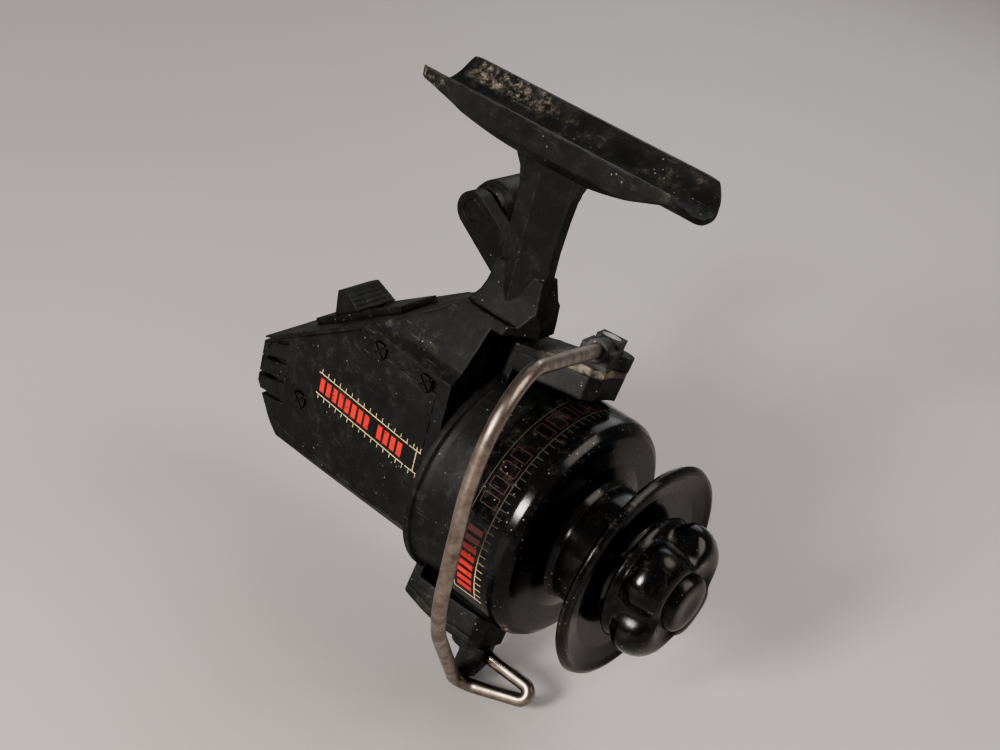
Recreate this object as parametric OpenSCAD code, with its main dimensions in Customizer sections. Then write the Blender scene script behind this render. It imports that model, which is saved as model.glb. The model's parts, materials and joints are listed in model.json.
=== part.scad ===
// Spinning reel for fishing, open-bail, skirted spool.
// X points forward along the rod, Y to the left, Z up.
// The origin is on the rod's axis, over the middle of the foot.

/* [Foot and stem] */
// Length of the foot along the rod
foot_len = 67.5; // [64:0.5:72]
// Width of the foot across the rod
foot_w = 17.3; // [16.9:0.1:18]
// Radius of the rod seat that the foot is curved to
saddle_r = 9.2; // [9.0:0.05:9.4]
// Height of the foot's rim above the main shaft
rim_height = 80.5; // [79:0.5:86]

/* [Body] */
// Half width of the gear housing at its front
body_half_w = 17.2; // [16.9:0.1:17.6]
// Wall thickness of the housing and of its cover
wall = 2.4; // [2.0:0.1:2.6]

/* [Rotor and bail] */
// Radius of the rotor's rear lip
lip_r = 25.3; // [25:0.1:25.6]
// Outer radius of the rotor's two arms
arm_r = 34; // [33.6:0.1:34.4]
// Lean of the rotor arms to the left at rest
arm_lean = 16.1; // [10:0.1:20]
// Opening angle of the bail from straight ahead, at rest
bail_open = 74; // [73:0.5:78]
// Thickness of the bail wire
wire_d = 3; // [2.4:0.1:3.2]

/* [Spool] */
// Outer radius of the spool's skirt
skirt_r = 26; // [25.8:0.1:26.2]
// Radius of the spool's front flange
flange_r = 24.6; // [23:0.1:25.5]

/* [Handle] */
// Length of the crank, axle to knob
crank_len = 39.3; // [38:0.1:40]
// Angle of the crank above the rearward direction, at rest
crank_angle = 32.3; // [28:0.1:40]
// Radius of the knob's barrel
knob_r = 6.2; // [5.5:0.1:6.5]

/* [Hidden] */

$fn = 64;
fine = 96;
eps = 0.01;

// Frame: distance from the rod's axis down to the rim and to the main shaft
saddle_half_w = foot_w / 2 - 0.85;
foot_shell = 1.1;
rim_drop = sqrt(pow(saddle_r, 2) - pow(saddle_half_w, 2));
shaft_to_foot = 0.25;
shaft_x = -shaft_to_foot;
shaft_z = -(rim_height + rim_drop);
foot_x0 = shaft_to_foot - foot_len / 2;
foot_x1 = shaft_to_foot + foot_len / 2;

// Housing
front_x = -1;
front_wall = 2.6;
nose_r = 11.5;
nose_x = 6;
incline_x = -53;
incline_z = 8.6;
incline_angle = 33.1;
cover_gap = 0.12;
hood_x = 6.8;
hood_z = 36.3;
pawl_x = -37.2;
pawl_z = 11;
pawl_lift = 12;

// Gear train, all in the main shaft's frame
axle_x = -19.8;
axle_z = 7;
axle_r = 2.5;
gear_teeth = 36;
pinion_teeth = 10;
mesh_dx = 12.24;
pinion_tip_r = 4.0;
pinion_root_r = 2.75;
rib_top_y = -2.95;
rib_land_y = -4.2;
gear_r = 15.8;
gear_back_y = -5.6;
crank_pin_offset = 5;
shaft_r = 2;
shaft_rear = -44;
shaft_front = 53.4;
run_gap = 0.06;

// Bearing
race_x = 1;
race_len = 5;
ball_ring_r = 6;
ball_r = 1.1;

// Bail
pivot_x = 15.4;
wire_r = wire_d / 2;
arm_rise = 11;
arm_drop = 2.3;
cover_depth = 1.8;
cover_screw_y = 5.5;
cover_seat_z = 30.8;
roller_d = -6;
roller_e = 1.4;

// Handle
crank_y = 46.2;
hub_y = 36.5;
hub_r = 5;
crank_thick = 4;
knob_y0 = 52;
knob_y1 = 86;

plastic = "#1d1d1d";
gloss = "#101010";
steel = "#a8a8a8";
brass = "#b09050";

// ---- Helpers: straight round shapes along one axis ----
module x_rod(r, x0, x1) {
    translate([x0, 0, 0]) rotate([0, 90, 0]) cylinder(r = r, h = x1 - x0);
}

module y_rod(r, y0, y1) {
    translate([0, y0, 0]) rotate([-90, 0, 0]) cylinder(r = r, h = y1 - y0);
}

module z_rod(r, z0, z1) {
    translate([0, 0, z0]) cylinder(r = r, h = z1 - z0);
}

module x_ring(ro, ri, x0, x1) {
    difference() {
        x_rod(ro, x0, x1);
        x_rod(ri, x0 - 1, x1 + 1);
    }
}

module y_ring(ro, ri, y0, y1) {
    difference() {
        y_rod(ro, y0, y1);
        y_rod(ri, y0 - 1, y1 + 1);
    }
}

// A solid turned about X from an outline of [radius, x] points
module x_turned(outline, fn = fine) {
    rotate([90, 0, 90]) rotate_extrude($fn = fn) polygon(outline);
}

// A plate outlined in X and Z, between two Y values
module xz_plate(outline, y0, y1) {
    translate([0, y1, 0]) rotate([90, 0, 0]) linear_extrude(y1 - y0) polygon(outline);
}

// A bar outlined in Y and Z, between two X values
module yz_bar(outline, x0, x1) {
    translate([x0, 0, 0]) rotate([90, 0, 90]) linear_extrude(x1 - x0) polygon(outline);
}

module block(x0, x1, y0, y1, z0, z1) {
    translate([x0, y0, z0]) cube([x1 - x0, y1 - y0, z1 - z0]);
}

// Frames that the sub-parts are placed in
module at_shaft() {
    translate([shaft_x, 0, shaft_z]) children();
}

module at_axle() {
    at_shaft() translate([axle_x, 0, axle_z]) children();
}

module on_arm(side = 1) {
    at_shaft() rotate([-arm_lean, 0, 0]) mirror([0, 0, side > 0 ? 0 : 1]) children();
}

module in_bail() {
    at_shaft() rotate([-arm_lean, 0, 0]) translate([pivot_x, 0, 0]) rotate([0, 0, -bail_open]) children();
}

module on_incline() {
    at_shaft() translate([incline_x, 0, incline_z]) rotate([0, -incline_angle, 0]) children();
}

// ---- Body outlines, each drawn g millimetres inside the outer skin ----
function incline_at(x) = incline_z + (x - incline_x) * tan(incline_angle);

function side_profile(g) = [
    [front_x - g, -20.4 + g], [-23, -19.9 + g], [-38.3, -18.2 + g], [-47, -15.4 + g],
    [-51.4 + g * 0.6, -12 + g], [-58.8 + g, -4.8 + g * 0.4], [-60.2 + g, 1.5 - g * 0.6],
    [-57.4 + g * 0.6, incline_at(-57.4) - g * 1.0], [-24, incline_at(-24) - g * 1.19],
    [-14.5, 34 - g * 1.3], [-10, 38.4 - g], [hood_x - g, 38.4 - g], [hood_x - g, hood_z - g],
    [front_x - g, hood_z - g]
];

function plan_profile(g) = [
    [12, -body_half_w + g], [-8, -body_half_w + g], [-50, -14.8 + g], [-57.5, -13.2 + g],
    [-61 + g, -9.5 + g * 0.4], [-61 + g, 9.5 - g * 0.4], [-57.5, 13.2 - g], [-50, 14.8 - g],
    [-8, body_half_w - g], [12, body_half_w - g]
];

function front_profile(g) = [
    [-9.5 + g * 0.4, -22], [9.5 - g * 0.4, -22], [9.5 - g * 0.4, -20.4], [body_half_w - g, -12.8 + g * 0.4],
    [body_half_w - g, 25], [14.5 - g, 27.2], [8.6 - g, 36], [7.2 - g, 40],
    [-7.2 + g, 40], [-8.6 + g, 36], [-14.5 + g, 27.2], [-body_half_w + g, 25],
    [-body_half_w + g, -12.8 + g * 0.4], [-9.5 + g * 0.4, -20.4]
];

// Rounded plan of the hood under the stem, which stands out over the rotor
function hood_plan(g) = [
    [-20, -9.5], [-1, -9.5], [1.6, -8.6 + g], [4.2, -5.6 + g], [hood_x - g, -2.6], [hood_x - g, 2.6],
    [4.2, 5.6 - g], [1.6, 8.6 - g], [-1, 9.5], [-20, 9.5]
];

module body_block(g) {
    intersection() {
        xz_plate(side_profile(g), -25, 25);
        translate([0, 0, -30]) linear_extrude(80) polygon(plan_profile(g));
        yz_bar(front_profile(g), -65, 15);
        union() {
            block(-70, front_x, -30, 30, -30, 50);
            translate([0, 0, 30]) linear_extrude(20) polygon(hood_plan(g));
        }
    }
}

// Outline of the right-hand cover, g millimetres larger all round
function cover_outline(g) = [
    [-4.2 + g, -12.4 - g], [-44, -12.4 - g], [-54 - g, -10 - g], [-58 - g, -4], [-58 - g, 1],
    [-53 - g * 0.5, 7.3 + g], [-27.7, 23.8 + g], [-4.2 + g, 23.8 + g]
];

// Horizontal grip grooves that wrap round the rear end
module rear_grooves() {
    difference() {
        for (i = [0:3])
            translate([-60, 0, -9.5 + 4.1 * i]) rotate([0, -14 - 4 * i, 0]) block(-6, 13, -20, 20, 0, 1.1);
        body_block(0.9);
    }
}

module stem() {
    outline = [
        [-15, 33.5], [-10.8, 37], [-8.7, 41], [-8.1, 46], [-7.9, 55], [-8, 64], [-9, 68],
        [-11.6, 71.8], [-14.4, 74.4], [11, 74.4], [7.2, 71.6], [5.2, 67], [4.6, 61], [4.2, 54], [4.3, 48],
        [5.2, 43.5], [hood_x, 38.4], [hood_x, hood_z], [front_x - 0.5, hood_z], [front_x - 0.5, 33.5]
    ];
    ridge = [
        [-18, 1.2], [-7.9, 1.2], [-1.8, 4.6], [4.2, 1.2], [14, 1.2],
        [14, -1.2], [4.2, -1.2], [-1.8, -4.6], [-7.9, -1.2], [-18, -1.2]
    ];
    root = [[-8.6, 33], [-7.6, 36], [-3.4, 43], [-2.4, 48], [2.4, 48], [3.4, 43], [7.6, 36], [8.6, 33]];
    intersection() {
        xz_plate(outline, -12, 12);
        translate([0, 0, 30]) linear_extrude(45) polygon(ridge);
    }
    intersection() {
        xz_plate(outline, -12, 12);
        yz_bar(root, -16, hood_x);
        translate([0, 0, 30]) linear_extrude(45) polygon(hood_plan(0));
    }
}

module foot_plan() {
    front_round = 7.5;
    rear_round = 2.5;
    w = foot_w / 2;
    translate([foot_x0 + rear_round, -w]) square([foot_len - rear_round - front_round, foot_w]);
    translate([foot_x0, rear_round - w]) square([rear_round * 2, foot_w - 2 * rear_round]);
    translate([foot_x1 - 2 * front_round, front_round - w]) square([2 * front_round, foot_w - 2 * front_round]);
    for (s = [-1, 1]) {
        translate([foot_x0 + rear_round, s * (w - rear_round)]) circle(r = rear_round);
        translate([foot_x1 - front_round, s * (w - front_round)]) circle(r = front_round);
    }
}

module foot() {
    underside = [
        [foot_x0 - 1, rim_height], [foot_x0 + 3, rim_height - 2.4], [-24, 76.5], [-14, 73.6], [-8, 71.9],
        [6, 71.6], [12, 73], [22, 75.9], [30, 78.6], [foot_x1, rim_height]
    ];
    difference() {
        intersection() {
            union() {
                intersection() {
                    xz_plate(underside, -10, 10);
                    translate([0, 0, rim_height + 1]) x_rod(10.5, foot_x0 - 2, foot_x1 + 2);
                }
                // thin shell round the rod seat, which the ends taper to
                translate([0, 0, -shaft_z]) x_rod(saddle_r + foot_shell, foot_x0 - 2, foot_x1 + 2);
            }
            translate([0, 0, 60]) linear_extrude(rim_height - 60) foot_plan();
        }
        translate([0, 0, -shaft_z]) x_rod(saddle_r, foot_x0 - 5, foot_x1 + 5);
    }
}

module cover_screw_sites() {
    for (p = [[-42, -2.2, -14.9], [-21.5, 22.2, -15.9], [-7.6, 22.2, -16.6]])
        translate([p[0], p[2], p[1]]) children();
}

module housing_inside() {
    intersection() {
        body_block(wall);
        block(-70, front_x - front_wall, -30, 30, -30, 25.6);
    }
}

// Webs and bosses that stand inside the housing
module housing_bosses() {
    intersection() {
        union() {
            translate([axle_x, 0, axle_z]) y_rod(5.4, 4.6, 16);
            block(-39, -35.8, -3.6, 16, -9.6, 4.2);
            translate([pawl_x, 0, pawl_z]) y_rod(2.8, -2.6, 14);
            cover_screw_sites() y_rod(2.6, 2.05, 9);
            for (x = [-21.5, -7.6])
                block(x - 2.6, x + 2.6, -13.8, -6.9, 22.2, 27);
            block(-44.6, -39.4, -12.8, -5.9, -18, -2.2);
        }
        body_block(wall * 0.6);
    }
}

module frame_housing() {
    color(plastic) at_shaft() difference() {
        union() {
            difference() {
                body_block(0);
                housing_inside();
                xz_plate(cover_outline(cover_gap), -30, -13.2);
                intersection() {
                    xz_plate(cover_outline(-1.6), -30, -10);
                    body_block(0.8);
                }
                rear_grooves();
            }
            housing_bosses();
            stem();
            foot();
            x_rod(nose_r, front_x - eps, nose_x);
            translate([axle_x, 0, axle_z]) y_rod(7.5, 15, 20);
        }
        x_rod(8, race_x, nose_x + 1);
        x_rod(6.6, front_x - front_wall - 1, race_x + eps);
        for (a = [0:120:240])
            rotate([a + 30, 0, 0]) translate([0, 0, 9.7]) x_rod(0.9, 1.5, nose_x + 1);
        translate([axle_x, 0, axle_z]) {
            y_rod(axle_r + 0.5, 4, 21);
            for (y = [4.5, 16.5])
                y_rod(4, y, y + 3.6);
        }
        x_rod(3.2, -40, -35);
        translate([0, 0.4, -7.6]) x_rod(1.25, -40, front_x - front_wall + 1.3);
        translate([pawl_x, 0, pawl_z]) y_rod(1.25, -5, 11.6);
        cover_screw_sites() {
            y_rod(1, 1, 8.6);
            y_rod(2.1, -6, 0.2);
        }
        translate([incline_x, 0, incline_z]) rotate([0, -incline_angle, 0]) {
            block(13.5, 22.7, -2.2, 2.2, -3.7, 1);
            for (x = [6.6, 29])
                translate([x, 0, 0]) z_rod(0.9, -6, 1);
        }
    }
}

module side_cover() {
    color(plastic) at_shaft() difference() {
        intersection() {
            body_block(0);
            xz_plate(cover_outline(0), -30, -12);
        }
        intersection() {
            xz_plate(cover_outline(3), -30, -5);
            body_block(wall);
        }
        block(-70, 0, -13.3, 0, -30, 40);
        // step down to the flange above the raised panel
        block(-24, 0, -30, -16.3, 21.3, 30);
        rear_grooves();
        cover_screw_sites() {
            y_rod(1.1, -4, 6);
            y_rod(2.1, -6, 0.2);
        }
    }
}

module screw(head_r, head_h, shank_r, shank_len) {
    difference() {
        union() {
            z_rod(head_r, 0, head_h);
            z_rod(shank_r, -shank_len, eps);
        }
        block(-head_r, head_r, -0.25, 0.25, head_h * 0.5, head_h + 1);
        block(-0.25, 0.25, -head_r, head_r, head_h * 0.5, head_h + 1);
    }
}

module cover_screws() {
    color(steel) at_shaft() cover_screw_sites()
        translate([0, 0.2, 0]) rotate([90, 45, 0]) screw(1.9, 1.1, 0.98, 8);
}

// ---- Anti-reverse ----
module switch_guide() {
    color(plastic) on_incline() difference() {
        block(4.4, 31.6, -5.8, 5.8, 0.02, 1.5);
        block(13.5, 22.7, -2.2, 2.2, -1, 3);
    }
    color(plastic) on_incline() for (x = [6.6, 29])
        translate([x, 0, 0]) z_rod(0.88, -3, 1);
}

module anti_reverse_switch() {
    outline = [[11.1, 1.58], [18.7, 1.58], [18.1, 2.6], [15.5, 6.9], [13.1, 6.9], [11.5, 2.6]];
    width_at = [[-6, 1.58], [6, 1.58], [5.2, 7], [-5.2, 7]];
    color(plastic) on_incline() difference() {
        union() {
            intersection() {
                xz_plate(outline, -7, 7);
                yz_bar(width_at, 0, 30);
            }
            block(13.9, 17.7, -1.9, 1.9, -3.3, 1.6);
        }
        // finger ribs stacked up the forward face
        for (i = [0:3])
            translate([18.25 - 0.6 * i, 0, 2.7 + 1.05 * i]) rotate([90, 0, 0])
                translate([0, 0, -7]) cylinder(r = 0.36, h = 14, $fn = 6);
    }
}

module anti_reverse_pawl() {
    color(steel) at_shaft() translate([pawl_x, 0, pawl_z]) rotate([0, -pawl_lift, 0]) difference() {
        union() {
            y_rod(2.2, -8.7, -7.2);
            xz_plate([[0, 2.1], [0, -2.1], [5.2, -2.6], [6.2, -1.4], [5.6, 0.8]], -8.7, -7.2);
            xz_plate([[-1.2, -1.8], [-1.9, 1.2], [-6.2, -1.2], [-6, -2.6]], -8.7, -7.2);
        }
        y_rod(1.25 + run_gap, -10, -6);
    }
}

module pawl_pin() {
    color(steel) at_shaft() translate([pawl_x, 0, pawl_z]) {
        y_rod(1.23, -9.6, 11.5);
        y_rod(2.1, -9.6, -8.9);
    }
}

// ---- Gear train ----
// One straight crown tooth, parallel to X where it meets the pinion
module crown_tooth() {
    x0 = mesh_dx - 1.64;
    x1 = mesh_dx + 1.66;
    yz_bar([
        [rib_land_y - 0.2, -axle_z - 0.36], [rib_top_y, -axle_z - 0.2],
        [rib_top_y, -axle_z + 0.2], [rib_land_y - 0.2, -axle_z + 0.36]
    ], x0, x1);
}

module drive_gear() {
    half_pitch = 180 / gear_teeth;
    color(brass) at_axle() difference() {
        union() {
            y_rod(gear_r, gear_back_y, rib_land_y);
            y_rod(3.4, gear_back_y, 0.6);
            for (i = [0:gear_teeth - 1])
                rotate([0, half_pitch + i * 360 / gear_teeth, 0]) crown_tooth();
        }
        y_rod(axle_r + 0.01, -8, 4);
        for (a = [45:90:315])
            rotate([0, a, 0]) translate([9.2, 0, 0]) y_rod(2.2, -8, 0);
        translate([crank_pin_offset, 0, 0]) y_rod(1.51, -8, 0);
    }
}

module ratchet_wheel() {
    teeth = 12;
    step = 360 / teeth;
    tip = 11;
    root = 9.3;
    outline = [for (i = [0:teeth - 1]) for (k = [0, 1])
        let (a = i * step + k * step * 0.12, r = k == 0 ? tip : root) [r * cos(a), r * sin(a)]];
    color(steel) at_axle() difference() {
        xz_plate(outline, -7.2, gear_back_y - 0.02);
        y_rod(axle_r + 0.01, -8, 4);
        translate([crank_pin_offset, 0, 0]) y_rod(1.51, -8, 0);
    }
}

module crank_pin() {
    color(steel) at_axle() translate([crank_pin_offset, 0, 0]) y_rod(1.5, -9.2, rib_land_y);
}

module gear_axle() {
    color(steel) at_axle() difference() {
        y_rod(axle_r, -7.6, 22);
        translate([-1.2, 12.5, -1.2]) cube([2.4, 13, 2.4]);
        y_rod(0.82, 6.5, 13);
    }
}

module axle_bushes() {
    color(brass) at_axle() for (y = [4.5, 16.5])
        y_ring(3.98, axle_r + run_gap, y + 0.05, y + 3.55);
}

module slider_yoke() {
    pin_x = axle_x + crank_pin_offset;
    color("#707070") at_shaft() difference() {
        union() {
            block(pin_x - 3.2, pin_x + 3.2, -2.7, 3.5, -12, 2.9);
            block(pin_x - 3.2, pin_x + 3.2, -11.2, 3.5, -12, -9.6);
            block(pin_x - 3.2, pin_x + 3.2, -11.2, -9.5, -12, 14.4);
        }
        x_rod(shaft_r + 0.01, -30, -5);
        translate([0, 0.4, -7.6]) x_rod(1.2 + run_gap, -30, -5);
        block(pin_x - 1.6, pin_x + 1.6, -12, -9, 0.4, 13.6);
        translate([pin_x, 0, 0]) y_rod(0.9, 1, 5);
    }
}

module yoke_screw() {
    color(steel) at_shaft() translate([axle_x + crank_pin_offset, 0, 0]) {
        y_rod(0.88, shaft_r - 0.6, 4);
        y_rod(1.7, 3.5, 4.4);
    }
}

module slider_guide_rod() {
    color(steel) at_shaft() translate([0, 0.4, -7.6]) x_rod(1.2, -38.9, front_x - front_wall + 1.2);
}

module rear_shaft_bush() {
    color(brass) at_shaft() x_ring(3.18, shaft_r + run_gap, -38.9, -35.9);
}

module main_shaft() {
    color(steel) at_shaft() difference() {
        union() {
            x_rod(shaft_r, shaft_rear, shaft_front);
            x_rod(shaft_r - 0.5, shaft_rear - 0.6, shaft_rear);
        }
        translate([axle_x + crank_pin_offset, 0, 0]) y_rod(0.9, shaft_r - 0.7, 4);
    }
}

// ---- Main bearing ----
module race_groove() {
    translate([race_x + race_len / 2, 0, 0]) rotate([0, 90, 0])
        rotate_extrude() translate([ball_ring_r, 0]) circle(r = ball_r + 0.05, $fn = 32);
}

module bearing_outer_race() {
    color(steel) at_shaft() difference() {
        x_ring(7.98, ball_ring_r + 0.6, race_x + 0.02, race_x + race_len);
        race_groove();
    }
}

module bearing_inner_race() {
    color(steel) at_shaft() difference() {
        x_ring(ball_ring_r - 0.6, 4.01, race_x + 0.02, race_x + race_len);
        race_groove();
    }
}

module bearing_balls() {
    color("#d0d0d0") at_shaft() for (a = [0:45:315])
        rotate([a, 0, 0]) translate([race_x + race_len / 2, 0, ball_ring_r]) sphere(r = ball_r, $fn = 32);
}

module bearing_retainer() {
    color(steel) at_shaft() difference() {
        x_ring(nose_r, 6.8, nose_x + 0.02, nose_x + 0.9);
        for (a = [0:120:240])
            rotate([a + 30, 0, 0]) translate([0, 0, 9.7]) x_rod(1, nose_x - 1, nose_x + 2);
    }
}

module retainer_screws() {
    color(steel) at_shaft() for (a = [0:120:240])
        rotate([a + 30, 0, 0]) translate([nose_x + 0.92, 0, 9.7]) rotate([0, 90, 0])
            screw(1.5, 0.8, 0.88, 5);
}

module pinion_gear() {
    module tooth() {
        yz_bar([
            [-0.46, pinion_root_r - 0.3], [0.46, pinion_root_r - 0.3],
            [0.22, pinion_tip_r], [-0.22, pinion_tip_r]
        ], -9.8, -4.2);
    }
    color(brass) at_shaft() difference() {
        union() {
            x_rod(pinion_root_r, -9.8, 1);
            x_rod(4.6, -4.3, race_x - 0.2);
            x_rod(4, race_x - 0.3, 14.5);
            for (i = [0:pinion_teeth - 1])
                rotate([90 + i * 360 / pinion_teeth, 0, 0]) tooth();
        }
        x_rod(shaft_r + run_gap, -12, 16);
    }
}

// ---- Rotor ----
module rotor_cup() {
    x_turned([
        [lip_r - 1.2, 0], [lip_r, 0.8], [lip_r, 2], [lip_r - 0.9, 2.6], [lip_r - 1.2, 4], [24, 8],
        [23.8, 12], [23, 16.2], [21.6, 16.2], [21.6, 11.8], [20.6, 10.8], [4.02, 10.8], [4.02, 8.4],
        [8, 8.4], [9.4, 9.2], [20, 9.2], [22.2, 7], [22.8, 3], [22.8, 0]
    ]);
}

// Outer radius of the arm covers, which rise from the lip to full height at arm_rise
function arm_top(x) = arm_r - arm_drop * max(0, 1 - (x + 0.2) / arm_rise);

// The arms' outline as seen from outside
module arm_outline() {
    translate([0, 0, 10]) linear_extrude(30) polygon([
        [-0.2, -8.8], [0.8, -9.8], [6, -9.8], [18, -6.6], [20, -4.4],
        [20, 4.4], [18, 6.6], [6, 9.8], [0.8, 9.8], [-0.2, 8.8]
    ]);
}

// The stretch of an arm's core between radius r0 and the underside of its cover
module arm_core(r0, x0, x1) {
    intersection() {
        difference() {
            x_turned([
                [0, -0.2], [arm_top(-0.2) - cover_depth, -0.2], [arm_r - cover_depth, arm_rise - 0.2],
                [arm_r - cover_depth, 20], [0, 20]
            ]);
            x_rod(r0, -1, 21);
        }
        block(x0, x1, -12, 12, 0, 40);
        arm_outline();
    }
}

module arm_pocket() {
    block(4, pivot_x, -4, 4, 29.9, 33);
    translate([pivot_x, 0, 0]) z_rod(4, 29.9, 33);
}

module rotor() {
    color(plastic) difference() {
        union() {
            at_shaft() rotor_cup();
            for (s = [-1, 1])
                on_arm(s) {
                    arm_core(27.2, -0.2, 20);
                    arm_core(24, -0.2, 2.6);
                }
        }
        for (s = [-1, 1])
            on_arm(s) {
                arm_pocket();
                translate([pivot_x, 0, 0]) z_rod(1.3, 26, 40);
                translate([2.2, cover_screw_y, 0]) z_rod(0.9, 26.4, 40);
            }
        on_arm(1) block(-3, 12, -1.55, 1.55, 28.35, 29.95);
    }
}

module rotor_nut() {
    color(steel) at_shaft() difference() {
        translate([10.82, 0, 0]) rotate([0, 90, 0]) cylinder(r = 6.6, h = 3.2, $fn = 6);
        x_rod(4.01, 9, 16);
    }
}

module arm_cover() {
    skin = cover_depth - 0.02;
    difference() {
        intersection() {
            x_turned([
                [arm_top(-1) - skin, -1], [arm_top(-1), -1], [arm_r, arm_rise - 0.2],
                [arm_r, 21], [arm_r - skin, 21], [arm_r - skin, arm_rise - 0.2]
            ]);
            arm_outline();
        }
        translate([pivot_x, 0, 0]) z_rod(3, 26, 40);
        translate([2.2, cover_screw_y, 0]) {
            z_rod(0.95, 26, 40);
            z_rod(1.7, cover_seat_z, 40);
        }
    }
}

module holder_arm_cover() {
    color(plastic) on_arm(1) arm_cover();
}

module roller_arm_cover() {
    color(plastic) on_arm(-1) arm_cover();
}

module arm_cover_screws() {
    color(steel) for (s = [-1, 1])
        on_arm(s) translate([2.2, cover_screw_y, cover_seat_z + 0.02]) screw(1.6, 0.6, 0.88, 3.6);
}

// Torsion spring in the arm's pocket, round the pivot
module bail_spring() {
    color(steel) on_arm(1) {
        translate([pivot_x, 0, 30.9]) rotate_extrude() translate([2.9, 0]) circle(r = 0.35, $fn = 24);
        translate([pivot_x, 0, 31.7]) rotate_extrude() translate([2.9, 0]) circle(r = 0.35, $fn = 24);
        translate([pivot_x, 0, 31.3]) translate([0, 2.9, 0]) z_rod(0.3, -0.4, 0.4);
        translate([0, -2.9, 30.9]) x_rod(0.33, 8, pivot_x);
    }
}

module trip_lever() {
    color(steel) on_arm(1) {
        block(-0.3, 8.6, -1.5, 1.5, 28.4, 29.9);
    }
}

// ---- Bail ----
// A straight run of wire between two points
module wire_run(a, b, r) {
    d = b - a;
    yaw = atan2(d[1], d[0]);
    pitch = acos(d[2] / norm(d));
    translate(a) rotate([0, pitch, yaw]) cylinder(r = r, h = norm(d));
}

// A bend of radius bend_r at corner p, from direction u to direction v
module wire_bend(p, u, v, bend_r, r) {
    turn = acos(u * v);
    t = bend_r * tan(turn / 2);
    c = p + (v - u) / norm(v - u) * bend_r / cos(turn / 2);
    ex = (p - u * t - c) / bend_r;
    ez = cross(ex, u);
    multmatrix([
        [ex[0], u[0], ez[0], c[0]], [ex[1], u[1], ez[1], c[1]], [ex[2], u[2], ez[2], c[2]], [0, 0, 0, 1]
    ]) rotate_extrude(angle = turn) translate([bend_r, 0]) circle(r = r);
}

function unit(v) = v / norm(v);

// Round wire through a list of corners, each with its own bend radius
module bent_wire(pts, radii, r) {
    n = len(pts);
    dirs = [for (i = [0:n - 2]) unit(pts[i + 1] - pts[i])];
    cut = [for (i = [0:n - 1]) i == 0 || i == n - 1 ? 0
        : radii[i] * tan(acos(dirs[i - 1] * dirs[i]) / 2)];
    // straight runs are a hair thicker and longer, so that they join the bends as one solid
    lap = 0.03;
    for (i = [0:n - 2])
        wire_run(pts[i] + dirs[i] * (cut[i] - lap), pts[i + 1] - dirs[i] * (cut[i + 1] - lap), r + 0.008);
    for (i = [1:n - 2])
        wire_bend(pts[i], dirs[i - 1], dirs[i], radii[i], r);
}

// Corners of the wire, from the holder round the hoop to the roller arm
wire_pts = [
    [3, 0, 37.2], [63.1, 0, 40.6], [61.7, 0, 19.1], [42.7, 0.6, -16.6],
    [1.6, 0.8, -44.8], [3.6, 25, -37.6], [-0.3, 3, -36.5]
];
wire_bends = [0, 12.6, 32, 50, 4.4, 1.8, 0];

module bail_wire() {
    color(steel) in_bail() bent_wire(wire_pts, wire_bends, wire_r);
}

module bail_holder() {
    color("#3a3a3a") in_bail() difference() {
        union() {
            z_rod(4.6, arm_r + 0.06, 36.4);
            block(0, 8.4, -3.6, 3.6, arm_r + 0.06, 38.2);
            translate([-1.2, 3, 0]) z_rod(3, arm_r + 0.06, 37.2);
            block(-2.6, 3, -2.6, 2.9, 36, 39.8);
            wire_run([3, 0, 37.2], [9, 0, 37.54], 2.5);
        }
        z_rod(1.31, 30, 45);
        z_rod(2.3, 38.8, 45);
        wire_run(wire_pts[0] - [0.1, 0, 0.0057], wire_pts[1], wire_r + 0.02);
    }
}

module bail_roller_arm() {
    base = arm_r + 0.06;
    block_end = [[-0.9, base], [4.6, base], [4.6, 40.2], [3.4, 41.2], [-0.9, 41.2]];
    color(plastic) in_bail() difference() {
        mirror([0, 0, 1]) difference() {
            union() {
                z_rod(4.4, base, 35.9);
                yz_bar(block_end, -3.6, 4.2);
                block(-7.6, -2.9, -0.9, 3.7, base, 42.4);
            }
            z_rod(1.31, 30, 39);
            z_rod(2.4, 35.9, 50);
            block(-10, -3.6, -7, 9, 36.3, 41.2);
            translate([roller_d, roller_e, 0]) z_rod(0.92, 30, 45);
        }
        // seats for the wire's last corner and its inner end
        wire_run(wire_pts[3], wire_pts[4], wire_r + 0.02);
        inner_end = wire_pts[6] + unit(wire_pts[6] - wire_pts[5]) * 0.06;
        wire_run(wire_pts[5], inner_end, wire_r + 0.02);
    }
}

module bail_pivot_screws() {
    color(steel) {
        on_arm(1) translate([pivot_x, 0, 0]) {
            z_rod(1.25, 28, 38.9);
            z_rod(2.2, 38.82, 39.7);
        }
        on_arm(-1) translate([pivot_x, 0, 0]) {
            z_rod(1.25, 28, 36.4);
            z_rod(2.3, 35.92, 37.4);
        }
    }
}

module roller_pin() {
    color(steel) in_bail() mirror([0, 0, 1]) translate([roller_d, roller_e, 0]) z_rod(0.9, 35, 42);
}

module line_roller() {
    color(steel) in_bail() mirror([0, 0, 1]) translate([roller_d, roller_e, 0]) difference() {
        rotate_extrude() polygon([
            [0.9 + run_gap, 36.5], [2.3, 36.5], [1.8, 37.6], [1.6, 38.75], [1.8, 39.9], [2.3, 41],
            [0.9 + run_gap, 41]
        ]);
    }
}

// ---- Spool and drag ----
module spool_sleeve() {
    color(brass) at_shaft() {
        x_ring(3, shaft_r + 0.01, 26.4, 40);
        x_ring(5, shaft_r + 0.01, 25.2, 26.5);
    }
}

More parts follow.
